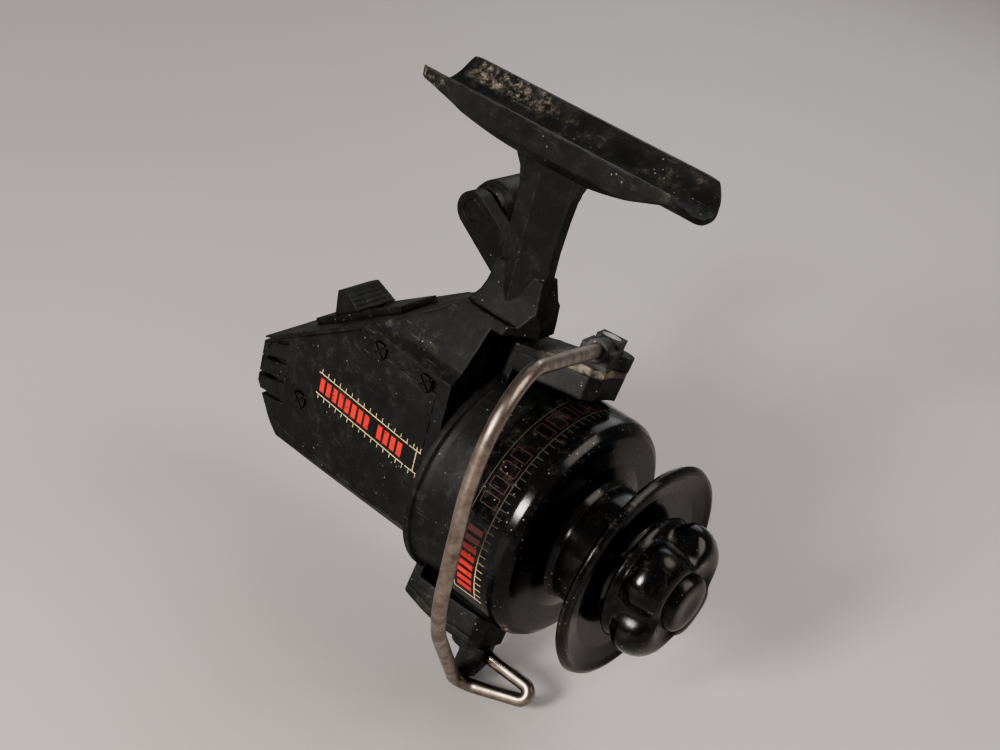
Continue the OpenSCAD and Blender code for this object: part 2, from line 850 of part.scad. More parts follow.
module click_gear() {
    teeth = 24;
    outline = [for (i = [0:2 * teeth - 1])
        let (a = i * 180 / teeth, r = i % 2 == 0 ? 7.4 : 6.5) [r * cos(a), r * sin(a)]];
    color(plastic) at_shaft() difference() {
        translate([25.3, 0, 0]) rotate([0, 90, 0]) linear_extrude(1.1) polygon(outline);
        x_rod(5.01, 20, 28);
    }
}

module click_pawl() {
    color(plastic) at_shaft() translate([0, 0, 12.4]) {
        x_rod(1, 26, 28.7);
        block(25.2, 26.8, -1.2, 1.2, -4.6, 1.4);
    }
}

module spool() {
    color(gloss) at_shaft() difference() {
        x_turned([
            [24.9, 13], [skirt_r - 0.2, 13], [skirt_r, 13.3], [skirt_r, 25.2], [skirt_r - 0.3, 26.8],
            [skirt_r - 1.2, 28.2], [skirt_r - 2.6, 29], [skirt_r - 4.4, 29.2], [17, 29.4], [14.2, 30.4],
            [13.5, 31.8], [13.5, 39.2], [14.2, 40.2], [16.5, 40.9], [22.6, 41.6], [flange_r - 0.6, 42],
            [flange_r, 42.9], [flange_r - 0.5, 43.9], [23.2, 44.2], [22, 43.6], [18.5, 42.8],
            [12.4, 42.6], [11, 42.6], [11, 33], [3.06, 33], [3.06, 27.2],
            [22.4, 27.2], [24, 26.6], [24.9, 25.2]
        ]);
        translate([0, 0, 12.4]) x_rod(1.02, 20, 28.8);
    }
}

module drag_stack(xs, thick, ro) {
    for (x = xs)
        x_ring(ro, 3.1, x, x + thick);
}

module drag_washers() {
    color(steel) at_shaft() drag_stack([34.15, 36.55, 38.95], 0.9, 10.4);
}

module drag_felts() {
    color("#8a7a5a") at_shaft() drag_stack([33.03, 35.15, 37.55], 1.0, 10.6);
}

module drag_clip() {
    color(steel) at_shaft() translate([40.6, 0, 0]) rotate([0, 90, 0])
        rotate_extrude(angle = 320) translate([10.4, 0]) circle(r = 0.5, $fn = 24);
}

module drag_spring() {
    color(steel) at_shaft() for (i = [0:3])
        translate([41.4 + 1.5 * i, 0, 0]) rotate([0, 90, 0])
            rotate_extrude() translate([5.2, 0]) circle(r = 0.5, $fn = 24);
}

module drag_nut() {
    color(brass) at_shaft() difference() {
        translate([49, 0, 0]) rotate([0, 90, 0]) cylinder(r = 4.2, h = 4, $fn = 6);
        x_rod(shaft_r + run_gap, 45, 56);
    }
}

module drag_knob() {
    lobes = 4;
    color(gloss) at_shaft() difference() {
        union() {
            x_turned([
                [0, 44.6], [13.4, 44.6], [14, 45.4], [13.6, 46.4], [11.6, 47.2], [11.2, 52],
                [10.2, 54.4], [8.6, 55.4], [0, 55.4]
            ]);
            intersection() {
                for (i = [0:lobes - 1])
                    rotate([i * 360 / lobes - 49, 0, 0]) translate([0, 0, 10.2]) x_rod(5, 46, 56);
                x_turned([[0, 46], [14.4, 46], [15.2, 48], [15.2, 50], [14.2, 52.6], [11.8, 54.6], [8, 55.6], [0, 55.8]]);
            }
            x_rod(6.2, 55, 56.6);
        }
        x_rod(shaft_r + 0.4, 40, 54.2);
        x_rod(6.6, 44, 49);
        translate([48, 0, 0]) rotate([0, 90, 0]) cylinder(r = 4.22, h = 5, $fn = 6);
    }
}

// ---- Handle ----
module at_knob() {
    at_axle() translate([-crank_len * cos(crank_angle), 0, crank_len * sin(crank_angle)]) children();
}

// Flat blade between two round ends, along X from the origin
module blade(r0, r1, reach, y0, y1) {
    lean = asin((r0 - r1) / reach);
    y_rod(r0, y0, y1);
    translate([reach, 0, 0]) y_rod(r1, y0, y1);
    xz_plate([
        [r0 * sin(lean), r0 * cos(lean)], [reach + r1 * sin(lean), r1 * cos(lean)],
        [reach + r1 * sin(lean), -r1 * cos(lean)], [r0 * sin(lean), -r0 * cos(lean)]
    ], y0, y1);
}

module crank_arm() {
    tang = 2.3;
    // side view of the arm, radius from the axle and height along it
    step_out = [
        [-7, hub_y], [3, hub_y], [20.5, crank_y], [50, crank_y],
        [50, crank_y + crank_thick], [18.9, crank_y + crank_thick],
        [1.4, hub_y + crank_thick], [-7, hub_y + crank_thick]
    ];
    color(plastic) difference() {
        at_axle() {
            difference() {
                y_rod(hub_r, 20.4, hub_y + 1);
                y_rod(axle_r + 0.02, 20, 22.02);
            }
            block(-tang / 2, tang / 2, 12.6, 24, -tang / 2, tang / 2);
            rotate([0, crank_angle - 180, 0]) intersection() {
                blade(hub_r + 0.3, 4.8, crank_len, 30, 60);
                translate([0, 0, -10]) linear_extrude(20) polygon(step_out);
            }
        }
        at_axle() {
            y_rod(0.85, 10, hub_y + 9);
            y_rod(3, hub_y + crank_thick - 1.4, hub_y + 9);
        }
        at_knob() {
            y_rod(1.51, crank_y - 1, crank_y + 5);
            y_rod(2.64, crank_y - 1, crank_y + 0.8);
        }
    }
}

module crank_screw() {
    color(steel) at_axle() {
        y_rod(0.8, 7, hub_y + crank_thick - 1);
        y_rod(2.9, hub_y + crank_thick - 1.38, hub_y + crank_thick);
    }
}

module knob_spindle() {
    color(steel) at_knob() {
        y_rod(1.5, crank_y + 0.1, knob_y1 - 3);
        y_rod(2.6, crank_y + 0.1, crank_y + 0.78);
        y_rod(2.6, knob_y1 - 3, knob_y1 - 2);
    }
}

module handle_knob() {
    color(plastic) at_knob() difference() {
        rotate([-90, 0, 0]) rotate_extrude() polygon([
            [0, knob_y0], [4.6, knob_y0], [5.6, knob_y0 + 0.8], [knob_r, knob_y0 + 3], [knob_r - 0.2, knob_y0 + 14],
            [knob_r, knob_y0 + 24], [knob_r - 0.3, knob_y1 - 2], [knob_r - 1.2, knob_y1 - 0.8], [0, knob_y1 - 0.8]
        ]);
        y_rod(1.5 + run_gap, knob_y0 - 1, knob_y1);
        y_rod(2.6 + 0.06, knob_y1 - 3.06, knob_y1 + 1);
        y_rod(4, knob_y1 - 1.9, knob_y1 + 1);
    }
}

module knob_cap() {
    color(gloss) at_knob() difference() {
        y_rod(3.98, knob_y1 - 1.88, knob_y1);
        y_ring(5, 3.4, knob_y1 - 0.5, knob_y1 + 1);
    }
}

frame_housing();
side_cover();
cover_screws();
switch_guide();
anti_reverse_switch();
anti_reverse_pawl();
pawl_pin();
gear_axle();
drive_gear();
ratchet_wheel();
crank_pin();
axle_bushes();
slider_yoke();
yoke_screw();
slider_guide_rod();
rear_shaft_bush();
main_shaft();
bearing_outer_race();
bearing_inner_race();
bearing_balls();
bearing_retainer();
retainer_screws();
pinion_gear();
rotor();
rotor_nut();
holder_arm_cover();
roller_arm_cover();
arm_cover_screws();
bail_spring();
trip_lever();
bail_holder();
bail_roller_arm();
bail_pivot_screws();
bail_wire();
roller_pin();
line_roller();
spool_sleeve();
click_gear();
click_pawl();
spool();
drag_washers();
drag_felts();
drag_clip();
drag_spring();
drag_nut();
drag_knob();
crank_arm();
crank_screw();
knob_spindle();
handle_knob();
knob_cap();
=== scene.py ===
"""The looks of the spinning reel: finishes, printed marks, wound springs, floor, light and camera."""

import json
import math
import bmesh
import bpy
from mathutils import Matrix, Vector
from mathutils.bvhtree import BVHTree


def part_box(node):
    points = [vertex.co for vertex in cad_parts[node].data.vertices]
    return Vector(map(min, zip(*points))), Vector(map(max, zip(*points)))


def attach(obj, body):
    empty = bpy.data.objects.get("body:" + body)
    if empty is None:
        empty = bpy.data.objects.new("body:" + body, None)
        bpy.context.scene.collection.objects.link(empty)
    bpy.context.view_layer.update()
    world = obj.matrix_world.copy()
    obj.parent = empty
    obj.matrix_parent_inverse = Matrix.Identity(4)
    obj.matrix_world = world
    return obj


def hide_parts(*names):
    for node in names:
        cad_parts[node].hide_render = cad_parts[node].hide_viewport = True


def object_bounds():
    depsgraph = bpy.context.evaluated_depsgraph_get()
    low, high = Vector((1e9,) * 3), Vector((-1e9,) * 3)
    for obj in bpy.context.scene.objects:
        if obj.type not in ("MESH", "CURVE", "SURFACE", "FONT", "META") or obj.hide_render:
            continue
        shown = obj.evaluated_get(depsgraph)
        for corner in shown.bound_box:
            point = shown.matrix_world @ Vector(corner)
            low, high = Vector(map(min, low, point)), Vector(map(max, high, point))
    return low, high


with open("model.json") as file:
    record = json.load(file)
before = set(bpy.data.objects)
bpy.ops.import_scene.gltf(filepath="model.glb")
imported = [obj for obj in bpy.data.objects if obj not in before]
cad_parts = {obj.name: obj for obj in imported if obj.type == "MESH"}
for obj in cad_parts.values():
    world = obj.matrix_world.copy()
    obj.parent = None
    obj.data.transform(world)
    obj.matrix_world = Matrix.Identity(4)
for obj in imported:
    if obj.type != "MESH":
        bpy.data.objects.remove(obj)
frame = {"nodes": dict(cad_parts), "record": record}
cad_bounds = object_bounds()

MM = 0.001
NODES = frame["nodes"]
JOINTS = {j["name"]: j for j in frame["record"]["behaviour"]["joints"]}

# The line through the rotor, the spool and the drag knob
SHAFT = Vector(JOINTS["rotor_spin"]["pos_m"])
# The line through the bail's two pivots
PIVOT = Vector(JOINTS["bail_flip"]["pos_m"])
PIVOT_AXIS = Vector(JOINTS["bail_flip"]["axis"]).normalized()


# ---- Node helpers ----
def add(tree, kind, values=None, **settings):
    """Adds a shader node. A value that is a socket is linked, and any other is set."""
    node = tree.nodes.new("ShaderNode" + kind)
    for key, value in settings.items():
        setattr(node, key, value)
    for key, value in (values or {}).items():
        if isinstance(value, bpy.types.NodeSocket):
            tree.links.new(value, node.inputs[key])
        else:
            node.inputs[key].default_value = value
    return node


def noise(tree, vector, scale, detail=3, rough=0.55):
    values = {"Vector": vector, "Scale": scale, "Detail": detail, "Roughness": rough}
    return add(tree, "TexNoise", values).outputs["Fac"]


def ramp(tree, value, low, high, start=0.0, end=1.0):
    """A smooth step from start to end as value goes from low to high."""
    values = {"Value": value, "From Min": low, "From Max": high, "To Min": start, "To Max": end}
    return add(tree, "MapRange", values, interpolation_type="SMOOTHSTEP").outputs["Result"]


def math_node(tree, operation, a, b):
    return add(tree, "Math", {0: a, 1: b}, operation=operation).outputs[0]


def mix(tree, factor, a, b):
    """Colour a where factor is 0 and colour b where it is 1."""
    node = add(tree, "Mix", {0: factor, 6: a, 7: b}, data_type="RGBA")
    return node.outputs[2]


def colour(red, green, blue):
    return (red, green, blue, 1)


def stretched(tree, vector, scale):
    return add(tree, "Mapping", {"Vector": vector, "Scale": scale}).outputs["Vector"]


def new_look(name, radius=0.25 * MM):
    """A material with an empty tree, its object coordinates and the rounded normal of its edges."""
    material = bpy.data.materials.new(name)
    material.use_nodes = True
    tree = material.node_tree
    tree.nodes.clear()
    coords = add(tree, "TexCoord").outputs
    rounded = add(tree, "Bevel", {"Radius": radius}, samples=4).outputs["Normal"]
    return material, tree, coords, rounded


def edges(tree, radius=0.5 * MM):
    """1 at sharp edges and corners, 0 on open faces."""
    wide = add(tree, "Bevel", {"Radius": radius}, samples=4).outputs["Normal"]
    flat = add(tree, "NewGeometry").outputs["Normal"]
    dot = add(tree, "VectorMath", {0: wide, 1: flat}, operation="DOT_PRODUCT").outputs["Value"]
    return ramp(tree, dot, 0.99, 0.8)


def close_look(tree, **values):
    shader = add(tree, "BsdfPrincipled", {key.replace("_", " "): v for key, v in values.items()})
    add(tree, "OutputMaterial", {"Surface": shader.outputs[0]})


# ---- Finishes ----
DUST = colour(0.30, 0.26, 0.22)
CHALK = colour(0.50, 0.46, 0.41)
SOIL = colour(0.42, 0.33, 0.23)
CHARCOAL_DARK = colour(0.0075, 0.0080, 0.0075)
CHARCOAL_LIGHT = colour(0.0155, 0.0165, 0.0150)


def moulded(name, dark, light, rough, grain=0.25, wear=0.5, dust=0.3, coat=0.0, soil=None):
    """Moulded plastic: mottled colour, fine grain, worn edges, specks, scratches and settled dust.

    soil, when given, is a function of (tree, coords) that returns where earth has stuck.
    """
    material, tree, coords, rounded = new_look(name, 0.8 * MM)
    place = coords["Object"]
    base = mix(tree, ramp(tree, noise(tree, place, 160, 6, 0.65), 0.35, 0.7), dark, light)

    rims = edges(tree)
    rubbing = ramp(tree, noise(tree, place, 420, 5), 0.42, 0.62)
    worn = math_node(tree, "MULTIPLY", rims, rubbing)
    base = mix(tree, math_node(tree, "MULTIPLY", worn, wear), base, colour(0.13, 0.125, 0.12))

    lines = noise(tree, stretched(tree, place, (0.22, 1, 2.4)), 900, 2)
    patches = ramp(tree, noise(tree, place, 55, 3), 0.5, 0.62)
    scratch = math_node(tree, "MULTIPLY", ramp(tree, lines, 0.665, 0.70), patches)
    base = mix(tree, math_node(tree, "MULTIPLY", scratch, 0.3), base, colour(0.15, 0.145, 0.14))

    up = add(tree, "SeparateXYZ", {0: coords["Normal"]}).outputs["Z"]
    lying = ramp(tree, up, -0.5, 0.9, 0.25, 1.0)
    clumps = ramp(tree, noise(tree, place, 320, 9, 0.8), 0.5, 0.72)
    drifts = ramp(tree, noise(tree, place, 48, 3), 0.40, 0.68, 0.15, 1.0)
    clumps = math_node(tree, "MULTIPLY", clumps, drifts)
    settled = math_node(tree, "MULTIPLY", math_node(tree, "MULTIPLY", lying, clumps), dust)
    base = mix(tree, settled, base, DUST)

    cells = add(tree, "TexVoronoi", {"Vector": place, "Scale": 620}).outputs["Distance"]
    speck_zone = ramp(tree, noise(tree, place, 130, 2), 0.5, 0.6)
    speck = math_node(tree, "MULTIPLY", ramp(tree, cells, 0.16, 0.08), speck_zone)
    base = mix(tree, math_node(tree, "MULTIPLY", speck, 0.6 * dust + 0.15), base, CHALK)

    shine = ramp(tree, noise(tree, place, 95, 5), 0.35, 0.7, rough[0], rough[1])
    shine = math_node(tree, "ADD", shine, math_node(tree, "MULTIPLY", settled, 0.4))
    height = noise(tree, place, 3200, 2)
    if soil:
        earth = soil(tree, coords)
        base = mix(tree, earth, base, mix(tree, noise(tree, place, 900, 4), SOIL, CHALK))
        shine = math_node(tree, "ADD", shine, math_node(tree, "MULTIPLY", earth, 0.4))
        height = math_node(tree, "ADD", height, math_node(tree, "MULTIPLY", earth, 2.0))
    height = math_node(tree, "SUBTRACT", height, math_node(tree, "MULTIPLY", scratch, 0.6))
    relief = {"Strength": grain, "Distance": 0.12 * MM, "Height": height, "Normal": rounded}
    bump = add(tree, "Bump", relief)
    close_look(
        tree, Base_Color=base, Roughness=shine, Normal=bump.outputs[0],
        Coat_Weight=coat, Coat_Roughness=0.12, Specular_IOR_Level=0.34,
    )
    return material


def metal(name, bright, dull, rough, tarnish=0.4, grain=(1, 1, 0.2), rust=0.0):
    """Metal: drawn or turned lines, dull patches, worn edges and a little rust."""
    material, tree, coords, rounded = new_look(name)
    place = coords["Object"]
    patches = ramp(tree, noise(tree, place, 260, 8, 0.72), 0.34, 0.72)
    base = mix(tree, math_node(tree, "MULTIPLY", patches, tarnish), bright, dull)
    lines = noise(tree, stretched(tree, place, grain), 2600, 2)
    base = mix(tree, math_node(tree, "MULTIPLY", lines, 0.25), base, dull)
    spots = ramp(tree, noise(tree, place, 700, 5, 0.7), 0.62, 0.7)
    base = mix(tree, math_node(tree, "MULTIPLY", spots, rust), base, colour(0.10, 0.05, 0.03))
    base = mix(tree, math_node(tree, "MULTIPLY", edges(tree, 0.3 * MM), 0.35), base, bright)
    shine = ramp(tree, noise(tree, place, 240, 5), 0.3, 0.7, rough[0], rough[1])
    shine = math_node(tree, "ADD", shine, math_node(tree, "MULTIPLY", patches, 0.12))
    relief = {"Strength": 0.12, "Distance": 0.05 * MM, "Height": lines, "Normal": rounded}
    bump = add(tree, "Bump", relief)
    close_look(tree, Base_Color=base, Roughness=shine, Metallic=1.0, Normal=bump.outputs[0])
    return material


def felt(name):
    """Pressed felt: matted fibres with a soft sheen."""
    material, tree, coords, rounded = new_look(name)
    place = coords["Object"]
    fibres = noise(tree, stretched(tree, place, (1, 0.3, 0.3)), 2400, 6, 0.7)
    base = mix(tree, fibres, colour(0.10, 0.09, 0.08), colour(0.34, 0.31, 0.27))
    greasy = ramp(tree, noise(tree, place, 260, 3), 0.5, 0.65, 0, 0.5)
    base = mix(tree, greasy, base, colour(0.05, 0.04, 0.03))
    relief = {"Strength": 0.8, "Distance": 0.2 * MM, "Height": fibres, "Normal": rounded}
    bump = add(tree, "Bump", relief)
    close_look(
        tree, Base_Color=base, Roughness=0.95, Normal=bump.outputs[0],
        Sheen_Weight=0.5, Sheen_Roughness=0.4,
    )
    return material


def printed(name, ink, fade_from, fade_to):
    """Printed film: chipped ink that has rubbed away over black, more so between two heights."""
    material, tree, coords, rounded = new_look(name)
    place = coords["Object"]
    up = add(tree, "SeparateXYZ", {0: place}).outputs["Z"]
    rubbed = ramp(tree, up, fade_from, fade_to, 0.0, 0.93)
    chips = ramp(tree, noise(tree, place, 800, 5, 0.7), 0.56, 0.66)
    lost = math_node(tree, "MAXIMUM", rubbed, math_node(tree, "MULTIPLY", chips, 0.7))
    tint = mix(tree, noise(tree, place, 300, 4), ink, tuple(c * 0.72 for c in ink[:3]) + (1,))
    base = mix(tree, lost, tint, colour(0.016, 0.015, 0.014))
    relief = {"Strength": 0.2, "Distance": 0.05 * MM, "Height": chips, "Normal": rounded}
    bump = add(tree, "Bump", relief)
    close_look(tree, Base_Color=base, Roughness=0.5, Normal=bump.outputs[0])
    return material


def channel_soil(tree, coords):
    """Earth stuck in the rear of the foot's channel, mostly on its far wall, and near the rear tip."""
    at = add(tree, "SeparateXYZ", {0: coords["Object"]}).outputs
    blot = ramp(tree, noise(tree, coords["Object"], 520, 10, 0.85), 0.47, 0.70)
    high = ramp(tree, at["Z"], -11 * MM, -8.5 * MM)
    inner, outer = ramp(tree, at["Y"], 3.6 * MM, 5.2 * MM), ramp(tree, at["Y"], 8.4 * MM, 7.2 * MM)
    far = math_node(tree, "MULTIPLY", inner, outer)
    start, end = ramp(tree, at["X"], -33 * MM, -29 * MM), ramp(tree, at["X"], -3 * MM, -20 * MM)
    rear = math_node(tree, "MULTIPLY", start, end)
    wall = math_node(tree, "MULTIPLY", far, rear)
    beside, behind = ramp(tree, at["Y"], -5 * MM, -7 * MM), ramp(tree, at["X"], -23 * MM, -30 * MM)
    near = math_node(tree, "MULTIPLY", beside, behind)
    zone = math_node(tree, "MAXIMUM", wall, math_node(tree, "MULTIPLY", near, 0.8))
    return math_node(tree, "MULTIPLY", math_node(tree, "MULTIPLY", zone, high), blot)


def arm_chalk(tree, coords):
    """Chalky scuffing on the front half of the arm that carries the bail holder."""
    at = add(tree, "SeparateXYZ", {0: coords["Object"]}).outputs
    low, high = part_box("holder_arm_cover")
    length = high[0] - low[0]
    front = ramp(tree, at["X"], low[0] + 0.30 * length, low[0] + 0.62 * length)
    blot = ramp(tree, noise(tree, coords["Object"], 420, 9, 0.8), 0.34, 0.60, 0.04, 0.5)
    return math_node(tree, "MULTIPLY", front, blot)


LOOKS = {
    "charcoal_plastic": moulded("matte_charcoal", CHARCOAL_DARK, CHARCOAL_LIGHT, (0.46, 0.64)),
    "gloss_plastic": moulded(
        "gloss_black", colour(0.0035, 0.0035, 0.0035), colour(0.007, 0.0065, 0.006), (0.15, 0.28),
        grain=0.03, wear=0.6, dust=0.34, coat=0.12,
    ),
    "grey_plastic": moulded(
        "chalky_grey", colour(0.018, 0.019, 0.020), colour(0.060, 0.058, 0.056), (0.5, 0.72),
        grain=0.4, wear=0.8, dust=0.5,
    ),
    "white_plastic": moulded(
        "natural_nylon", colour(0.58, 0.56, 0.50), colour(0.70, 0.68, 0.61), (0.4, 0.55),
        grain=0.15, wear=0.1, dust=0.2,
    ),
    "tarnished_steel": metal(
        "bail_wire_steel", colour(0.40, 0.345, 0.305), colour(0.15, 0.118, 0.096), (0.24, 0.40),
        tarnish=0.8, grain=(1, 1, 0.15), rust=0.6,
    ),
    "bright_steel": metal(
        "turned_steel", colour(0.62, 0.61, 0.59), colour(0.33, 0.32, 0.31), (0.18, 0.34)
    ),
    "plated_steel": metal(
        "screw_steel", colour(0.50, 0.49, 0.47), colour(0.16, 0.15, 0.14), (0.3, 0.5),
        tarnish=0.7, rust=0.4,
    ),
    "blackened_steel": metal(
        "blackened_screw_steel", colour(0.075, 0.07, 0.066), colour(0.03, 0.028, 0.026), (0.42, 0.6),
        tarnish=0.8, rust=0.3,
    ),
    "brass": metal(
        "gear_brass", colour(0.72, 0.52, 0.22), colour(0.36, 0.24, 0.10), (0.22, 0.4), tarnish=0.6
    ),
    "felt": felt("pressed_felt"),
}
HOUSING_LOOK = moulded(
    "matte_charcoal_soiled", CHARCOAL_DARK, CHARCOAL_LIGHT, (0.46, 0.64),
    wear=0.6, soil=channel_soil,
)
ARM_COVER_LOOK = moulded(
    "matte_charcoal_chalked", CHARCOAL_DARK, CHARCOAL_LIGHT, (0.5, 0.7), wear=0.8, soil=arm_chalk
)
BLACKENED_NODES = ("cover_screws", "knob_spindle", "crank_screw", "arm_cover_screws")


def finish_nodes():
    """Gives every CAD node the finish of its slot, and a few nodes a finish of their own."""
    for name, piece in NODES.items():
        slot = piece.data.materials[0].name.split(".")[0]
        piece.data.materials[0] = LOOKS[slot]
    NODES["frame_housing"].data.materials[0] = HOUSING_LOOK
    NODES["holder_arm_cover"].data.materials[0] = ARM_COVER_LOOK
    for name in BLACKENED_NODES:
        NODES[name].data.materials[0] = LOOKS["blackened_steel"]


# ---- Mesh helpers ----
def mesh_object(name, points, faces, look, body):
    """A piece from points and faces that rides on a body."""
    mesh = bpy.data.meshes.new(name)
    mesh.from_pydata([tuple(p) for p in points], [], faces)
    mesh.update()
    mesh.materials.append(look)
    piece = bpy.data.objects.new(name, mesh)
    bpy.context.collection.objects.link(piece)
    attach(piece, body)
    return piece


def tube(path, radius, sides=12):
    """Points and faces of a closed round wire along a path."""
    points, faces = [], []
    side = (path[1] - path[0]).orthogonal().normalized()
    for i, at in enumerate(path):
        along = (path[min(i + 1, len(path) - 1)] - path[max(i - 1, 0)]).normalized()
        side = (side - along * side.dot(along)).normalized()
        across = along.cross(side)
        for k in range(sides):
            a = 2 * math.pi * k / sides
            points.append(at + radius * (math.cos(a) * side + math.sin(a) * across))
    for i in range(len(path) - 1):
        for k in range(sides):
            n = (k + 1) % sides
            near, far = i * sides, (i + 1) * sides
            faces.append((near + k, near + n, far + n, far + k))
    faces.append(tuple(reversed(range(sides))))
    faces.append(tuple(range((len(path) - 1) * sides, len(path) * sides)))
    return points, faces


def reach(node, origin, axis):
    """A CAD node's least and greatest place along an axis through origin, and its greatest radius."""
    offsets = [v.co - origin for v in NODES[node].data.vertices]
    along = [o.dot(axis) for o in offsets]
    away = max((o - axis * a).length for o, a in zip(offsets, along))
    return min(along), max(along), away


def smooth(piece):
    for face in piece.data.polygons:
        face.use_smooth = len(face.vertices) == 4
    return piece


# ---- Springs ----
def helix(centre, axis, side, radius, height, turns, steps=28):
    """Points of a coil round axis that starts level with centre."""
    across = axis.cross(side)
    count = int(turns * steps)
    path = []
    for i in range(count + 1):
        a = 2 * math.pi * turns * i / count
        climb = axis * (height * i / count)
        path.append(centre + climb + radius * (math.cos(a) * side + math.sin(a) * across))
    return path


def drag_coil():
    """The compression spring under the drag knob, wound in the room its CAD solid keeps."""
    wire = 0.42 * MM
    axis = Vector((1, 0, 0))
    low, high, away = reach("drag_spring", SHAFT, axis)
    start = SHAFT + axis * (low + wire)
    radius = away - wire - 0.02 * MM
    turns = 4.5
    path = helix(start, axis, Vector((0, 0, 1)), radius, high - low - 2 * wire, turns)
    points, faces = tube(path, wire)
    steel = LOOKS["bright_steel"]
    coil = smooth(mesh_object("drag_spring_coil", points, faces, steel, "drag"))
    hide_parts("drag_spring")


def bail_coil():
    """The torsion spring round the bail's pivot, with one leg that lies along the arm."""
    wire = 0.3 * MM
    gap = 0.04 * MM
    turns = 2.0
    low, high, _ = reach("bail_spring", PIVOT, PIVOT_AXIS)
    rear, front, _ = reach("bail_spring", PIVOT, Vector((1, 0, 0)))
    side = PIVOT_AXIS.cross(Vector((1, 0, 0)))
    radius = front - 0.4 * MM
    start = PIVOT + PIVOT_AXIS * (low + wire + gap)
    path = helix(start, PIVOT_AXIS, -side, radius, high - low - 2 * wire - 2 * gap, turns)
    leg_end = path[0] + Vector((rear + 0.1 * MM, 0, 0))
    leg = [leg_end.lerp(path[0], t / 6) for t in range(6)]
    points, faces = tube(leg + path, wire)
    steel = LOOKS["bright_steel"]
    coil = smooth(mesh_object("bail_spring_coil", points, faces, steel, "rotor_group"))
    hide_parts("bail_spring")


# ---- Drag knob ----
def drag_cap():
    """The drag knob: a thin skirt, four rounded lobes, a dished face and a centre boss."""
    axis = Vector((1, 0, 0))
    low, high, away = reach("drag_knob", SHAFT, axis)
    length = high - low
    lobes, phase, around = 4, math.radians(41), 128
    sharpness = 2.6  # how narrow the valleys are
    crease = math.radians(38)  # edges that turn more than this stay sharp
    # (share of the length, radius as a share of the greatest, how far the valleys cut in)
    outer = [
        (0.00, 0.878, 0.0), (0.02, 0.905, 0.0), (0.06, 0.925, 0.0), (0.11, 0.915, 0.0),
        (0.15, 0.890, 0.02), (0.19, 0.880, 0.08), (0.24, 0.925, 0.17), (0.31, 0.975, 0.24),
        (0.40, 0.998, 0.27), (0.50, 0.990, 0.28), (0.60, 0.970, 0.28), (0.70, 0.930, 0.27),
        (0.79, 0.865, 0.25), (0.86, 0.785, 0.22), (0.895, 0.700, 0.18), (0.890, 0.620, 0.12),
        (0.855, 0.540, 0.05), (0.82, 0.470, 0.0), (0.815, 0.430, 0.0), (0.96, 0.400, 0.0),
        (0.99, 0.372, 0.0), (1.00, 0.335, 0.0), (1.00, 0.22, 0.0), (0.985, 0.14, 0.0),
    ]
    outer_middle = 0.975
    # (share of the length, radius as a share of the greatest) of the bore from its roof to the rear
    inner = [(0.84, 0.17), (0.40, 0.17), (0.38, 0.436), (0.0, 0.436)]
    points, faces = [], []

    def ring(share, radius_at):
        for k in range(around):
            a = 2 * math.pi * k / around
            r = away * radius_at(a)
            points.append(SHAFT + Vector((low + share * length, -math.cos(a) * r, math.sin(a) * r)))

    def valley(a):
        return (0.5 - 0.5 * math.cos(lobes * (a - phase))) ** sharpness

    for share, radius, cut in outer:
        ring(share, lambda a: radius * (1 - cut * valley(a)))
    for share, radius in inner:
        ring(share, lambda a: radius)
    # The outside and the bore are each skinned, and the bore's rear ring meets the outside's first
    front_ring, rings = len(outer) - 1, len(outer) + len(inner)
    for i in [*range(front_ring), *range(front_ring + 1, rings)]:
        near, far = i * around, (i + 1) % rings * around
        for k in range(around):
            n = (k + 1) % around
            faces.append((near + k, near + n, far + n, far + k))
    front, roof = front_ring * around, (front_ring + 1) * around
    for start, share in ((front, outer_middle), (roof, inner[0][0])):
        middle = len(points)
        points.append(SHAFT + Vector((low + share * length, 0, 0)))
        for k in range(around):
            faces.append((start + k, start + (k + 1) % around, middle))
    knob = mesh_object("drag_knob_cap", points, faces, LOOKS["gloss_plastic"], "drag")
    mesh = bmesh.new()
    mesh.from_mesh(knob.data)
    bmesh.ops.recalc_face_normals(mesh, faces=mesh.faces)
    for edge in mesh.edges:
        edge.smooth = edge.calc_face_angle(0) < crease
    for face in mesh.faces:
        face.smooth = True
    mesh.to_mesh(knob.data)
    mesh.free()
    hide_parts("drag_knob")


# ---- Printed marks ----
CREAM = colour(0.78, 0.66, 0.38)
RED = colour(0.72, 0.045, 0.035)
FILM = 0.03 * MM  # half of the film's thickness
UNRUBBED = (0.2, 0.3)  # heights above every piece, so that none of the ink is rubbed away


def film(name, surface, marks, look, body):
    """A piece of printed film: one thin closed strip per mark, laid on a surface.

    surface(u, v) gives a point and the outward normal.
    A mark is (u0, v0, u1, v1, half width, lengths it is cut into).
    """
    points, faces = [], []
    for u0, v0, u1, v1, half, pieces in marks:
        run = Vector((u1 - u0, v1 - v0)).normalized()
        first = len(points)
        for i in range(pieces + 1):
            t = i / pieces
            u, v = u0 + (u1 - u0) * t, v0 + (v1 - v0) * t
            for s in (-half, half):
                at, out = surface(u - run.y * s, v + run.x * s)
                points.extend((at + out * FILM, at - out * FILM))
        for i in range(pieces):
            a = first + 4 * i
            b = a + 4
            faces += [
                (a, a + 2, b + 2, b), (a + 1, b + 1, b + 3, a + 3),
                (a, b, b + 1, a + 1), (a + 2, a + 3, b + 3, b + 2),
            ]
        end = first + 4 * pieces
        faces += [(first, first + 1, first + 3, first + 2), (end, end + 2, end + 3, end + 1)]
    piece = mesh_object(name, points, faces, look, body)
    mesh = bmesh.new()
    mesh.from_mesh(piece.data)
    bmesh.ops.recalc_face_normals(mesh, faces=mesh.faces)
    mesh.to_mesh(piece.data)
    mesh.free()
    return piece


